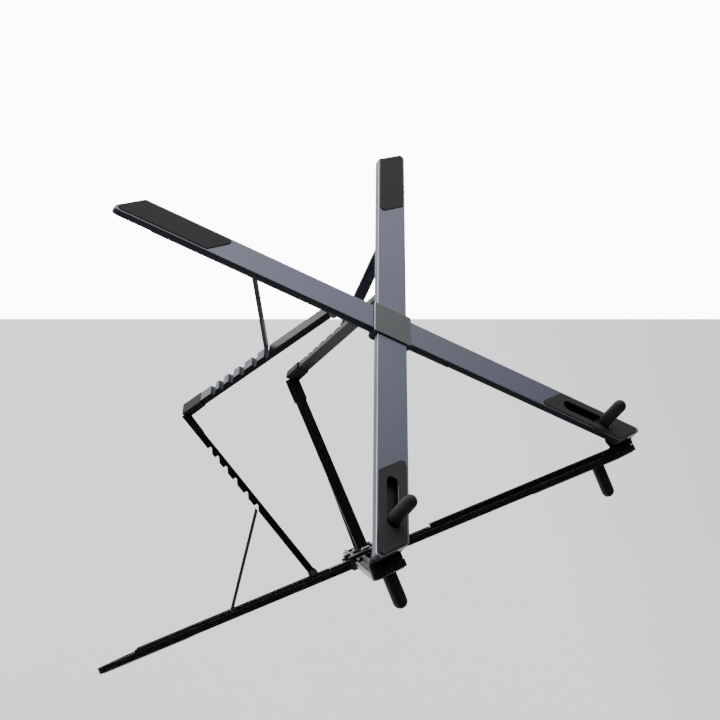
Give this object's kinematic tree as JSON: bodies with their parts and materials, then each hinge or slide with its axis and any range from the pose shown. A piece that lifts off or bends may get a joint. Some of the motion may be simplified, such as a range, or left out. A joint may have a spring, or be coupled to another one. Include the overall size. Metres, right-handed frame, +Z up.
{
  "type": "folding laptop stand",
  "caption": "Pocket laptop stand: crossed flat arms on a square hub slope down to the front, propped by notched rear legs with struts; sliding stops hold the laptop's edge.",
  "frame": {"origin": "the middle of the stand's footprint box, on the table top that its feet and boots stand on", "axes": "+Z is up, the stand faces -Y, where the deck is low and the stops are, and X runs left to right; the stand is mirror-symmetric across X = 0"},
  "size_m": [0.2568, 0.2098, 0.1385],
  "materials": {
    "arm_finish": "satin blue-grey anodised",
    "cap_finish": "satin grey anodised, bevelled edge",
    "dark_metal": "satin near-black",
    "leg_finish": "satin dark grey anodised",
    "strut_finish": "satin near-black",
    "bright_metal": "plain steel",
    "pad_rubber": "matte charcoal",
    "foot_rubber": "matte black",
    "stop_rubber": "matte dark grey"
  },
  "bodies": {
    "hub": {"hub_base": "dark_metal", "hub_cap": "cap_finish", "hub_screw": "bright_metal", "fold_pin_rear_left": "dark_metal", "fold_pin_rear_right": "dark_metal", "fold_pin_front_left": "dark_metal", "fold_pin_front_right": "dark_metal"},
    "rear_left_arm": {"rear_left_beam": "arm_finish", "rear_left_pad": "pad_rubber", "rear_left_knuckle": "dark_metal", "rear_left_rail": "dark_metal", "leg_bracket_left": "dark_metal", "leg_pin_left": "bright_metal", "strut_pin_left": "bright_metal", "strut_spacer_left_inner": "bright_metal", "strut_spacer_left_outer": "bright_metal"},
    "rear_right_arm": {"rear_right_beam": "arm_finish", "rear_right_pad": "pad_rubber", "rear_right_knuckle": "dark_metal", "rear_right_rail": "dark_metal", "leg_bracket_right": "dark_metal", "leg_pin_right": "bright_metal", "strut_pin_right": "bright_metal", "strut_spacer_right_inner": "bright_metal", "strut_spacer_right_outer": "bright_metal"},
    "front_left_arm": {"front_left_beam": "arm_finish", "front_left_pad": "pad_rubber", "front_left_knuckle": "dark_metal", "front_left_rail": "dark_metal", "front_left_foot": "foot_rubber", "front_left_track": "dark_metal"},
    "front_right_arm": {"front_right_beam": "arm_finish", "front_right_pad": "pad_rubber", "front_right_knuckle": "dark_metal", "front_right_rail": "dark_metal", "front_right_foot": "foot_rubber", "front_right_track": "dark_metal"},
    "leg_left": {"leg_left": "leg_finish", "boot_left": "foot_rubber"},
    "strut_left": {"strut_left": "strut_finish"},
    "stop_left": {"stop_post_left": "bright_metal", "stop_sleeve_left": "stop_rubber", "stop_bush_left": "bright_metal", "stop_nut_left": "dark_metal"},
    "leg_right": {"leg_right": "leg_finish", "boot_right": "foot_rubber"},
    "strut_right": {"strut_right": "strut_finish"},
    "stop_right": {"stop_post_right": "bright_metal", "stop_sleeve_right": "stop_rubber", "stop_bush_right": "bright_metal", "stop_nut_right": "dark_metal"}
  },
  "joints": [
    {"name": "rear_right_fold", "type": "hinge", "parent": "hub", "child": "rear_right_arm", "pos_m": [0.0044, 0.00576, 0.07582], "axis": [0, -0.5693, 0.8221], "range_deg": [0, 45]},
    {"name": "rear_left_fold", "type": "hinge", "parent": "hub", "child": "rear_left_arm", "pos_m": [-0.0044, 0.00576, 0.07582], "axis": [0, -0.5693, 0.8221], "range_deg": [-45, 0]},
    {"name": "front_left_fold", "type": "hinge", "parent": "hub", "child": "front_left_arm", "pos_m": [-0.0044, -0.01427, 0.06196], "axis": [0, -0.5693, 0.8221], "range_deg": [0, 45]},
    {"name": "front_right_fold", "type": "hinge", "parent": "hub", "child": "front_right_arm", "pos_m": [0.0044, -0.01427, 0.06196], "axis": [0, -0.5693, 0.8221], "range_deg": [-45, 0]},
    {"name": "leg_fold_left", "type": "hinge", "parent": "rear_left_arm", "child": "leg_left", "pos_m": [-0.02411, 0.01654, 0.08122], "axis": [0.7071, 0.5813, 0.4025], "range_deg": [0, 71.5]},
    {"name": "strut_fold_left", "type": "hinge", "parent": "rear_left_arm", "child": "strut_left", "pos_m": [-0.06067, 0.045, 0.10433], "axis": [0.7071, 0.5813, 0.4025], "range_deg": [0, 123.05]},
    {"name": "leg_fold_right", "type": "hinge", "parent": "rear_right_arm", "child": "leg_right", "pos_m": [0.02411, 0.01654, 0.08122], "axis": [0.7071, -0.5813, -0.4025], "range_deg": [0, 71.5]},
    {"name": "strut_fold_right", "type": "hinge", "parent": "rear_right_arm", "child": "strut_right", "pos_m": [0.06067, 0.045, 0.10433], "axis": [0.7071, -0.5813, -0.4025], "range_deg": [0, 123.05]},
    {"name": "stop_slide_left", "type": "slide", "parent": "front_left_arm", "child": "stop_left", "axis": [-0.7071, -0.5813, -0.4025], "range_m": [-0.0253, 0.0013]},
    {"name": "stop_slide_right", "type": "slide", "parent": "front_right_arm", "child": "stop_right", "axis": [0.7071, -0.5813, -0.4025], "range_m": [-0.0253, 0.0013]}
  ],
  "couplings": [
    {"joint": "rear_left_fold", "follows": "rear_right_fold", "ratio": -1},
    {"joint": "front_left_fold", "follows": "rear_right_fold", "ratio": 1},
    {"joint": "front_right_fold", "follows": "rear_right_fold", "ratio": -1},
    {"joint": "strut_fold_left", "follows": "leg_fold_left", "ratio": 1.7209},
    {"joint": "strut_fold_right", "follows": "leg_fold_right", "ratio": 1.7209}
  ]
}
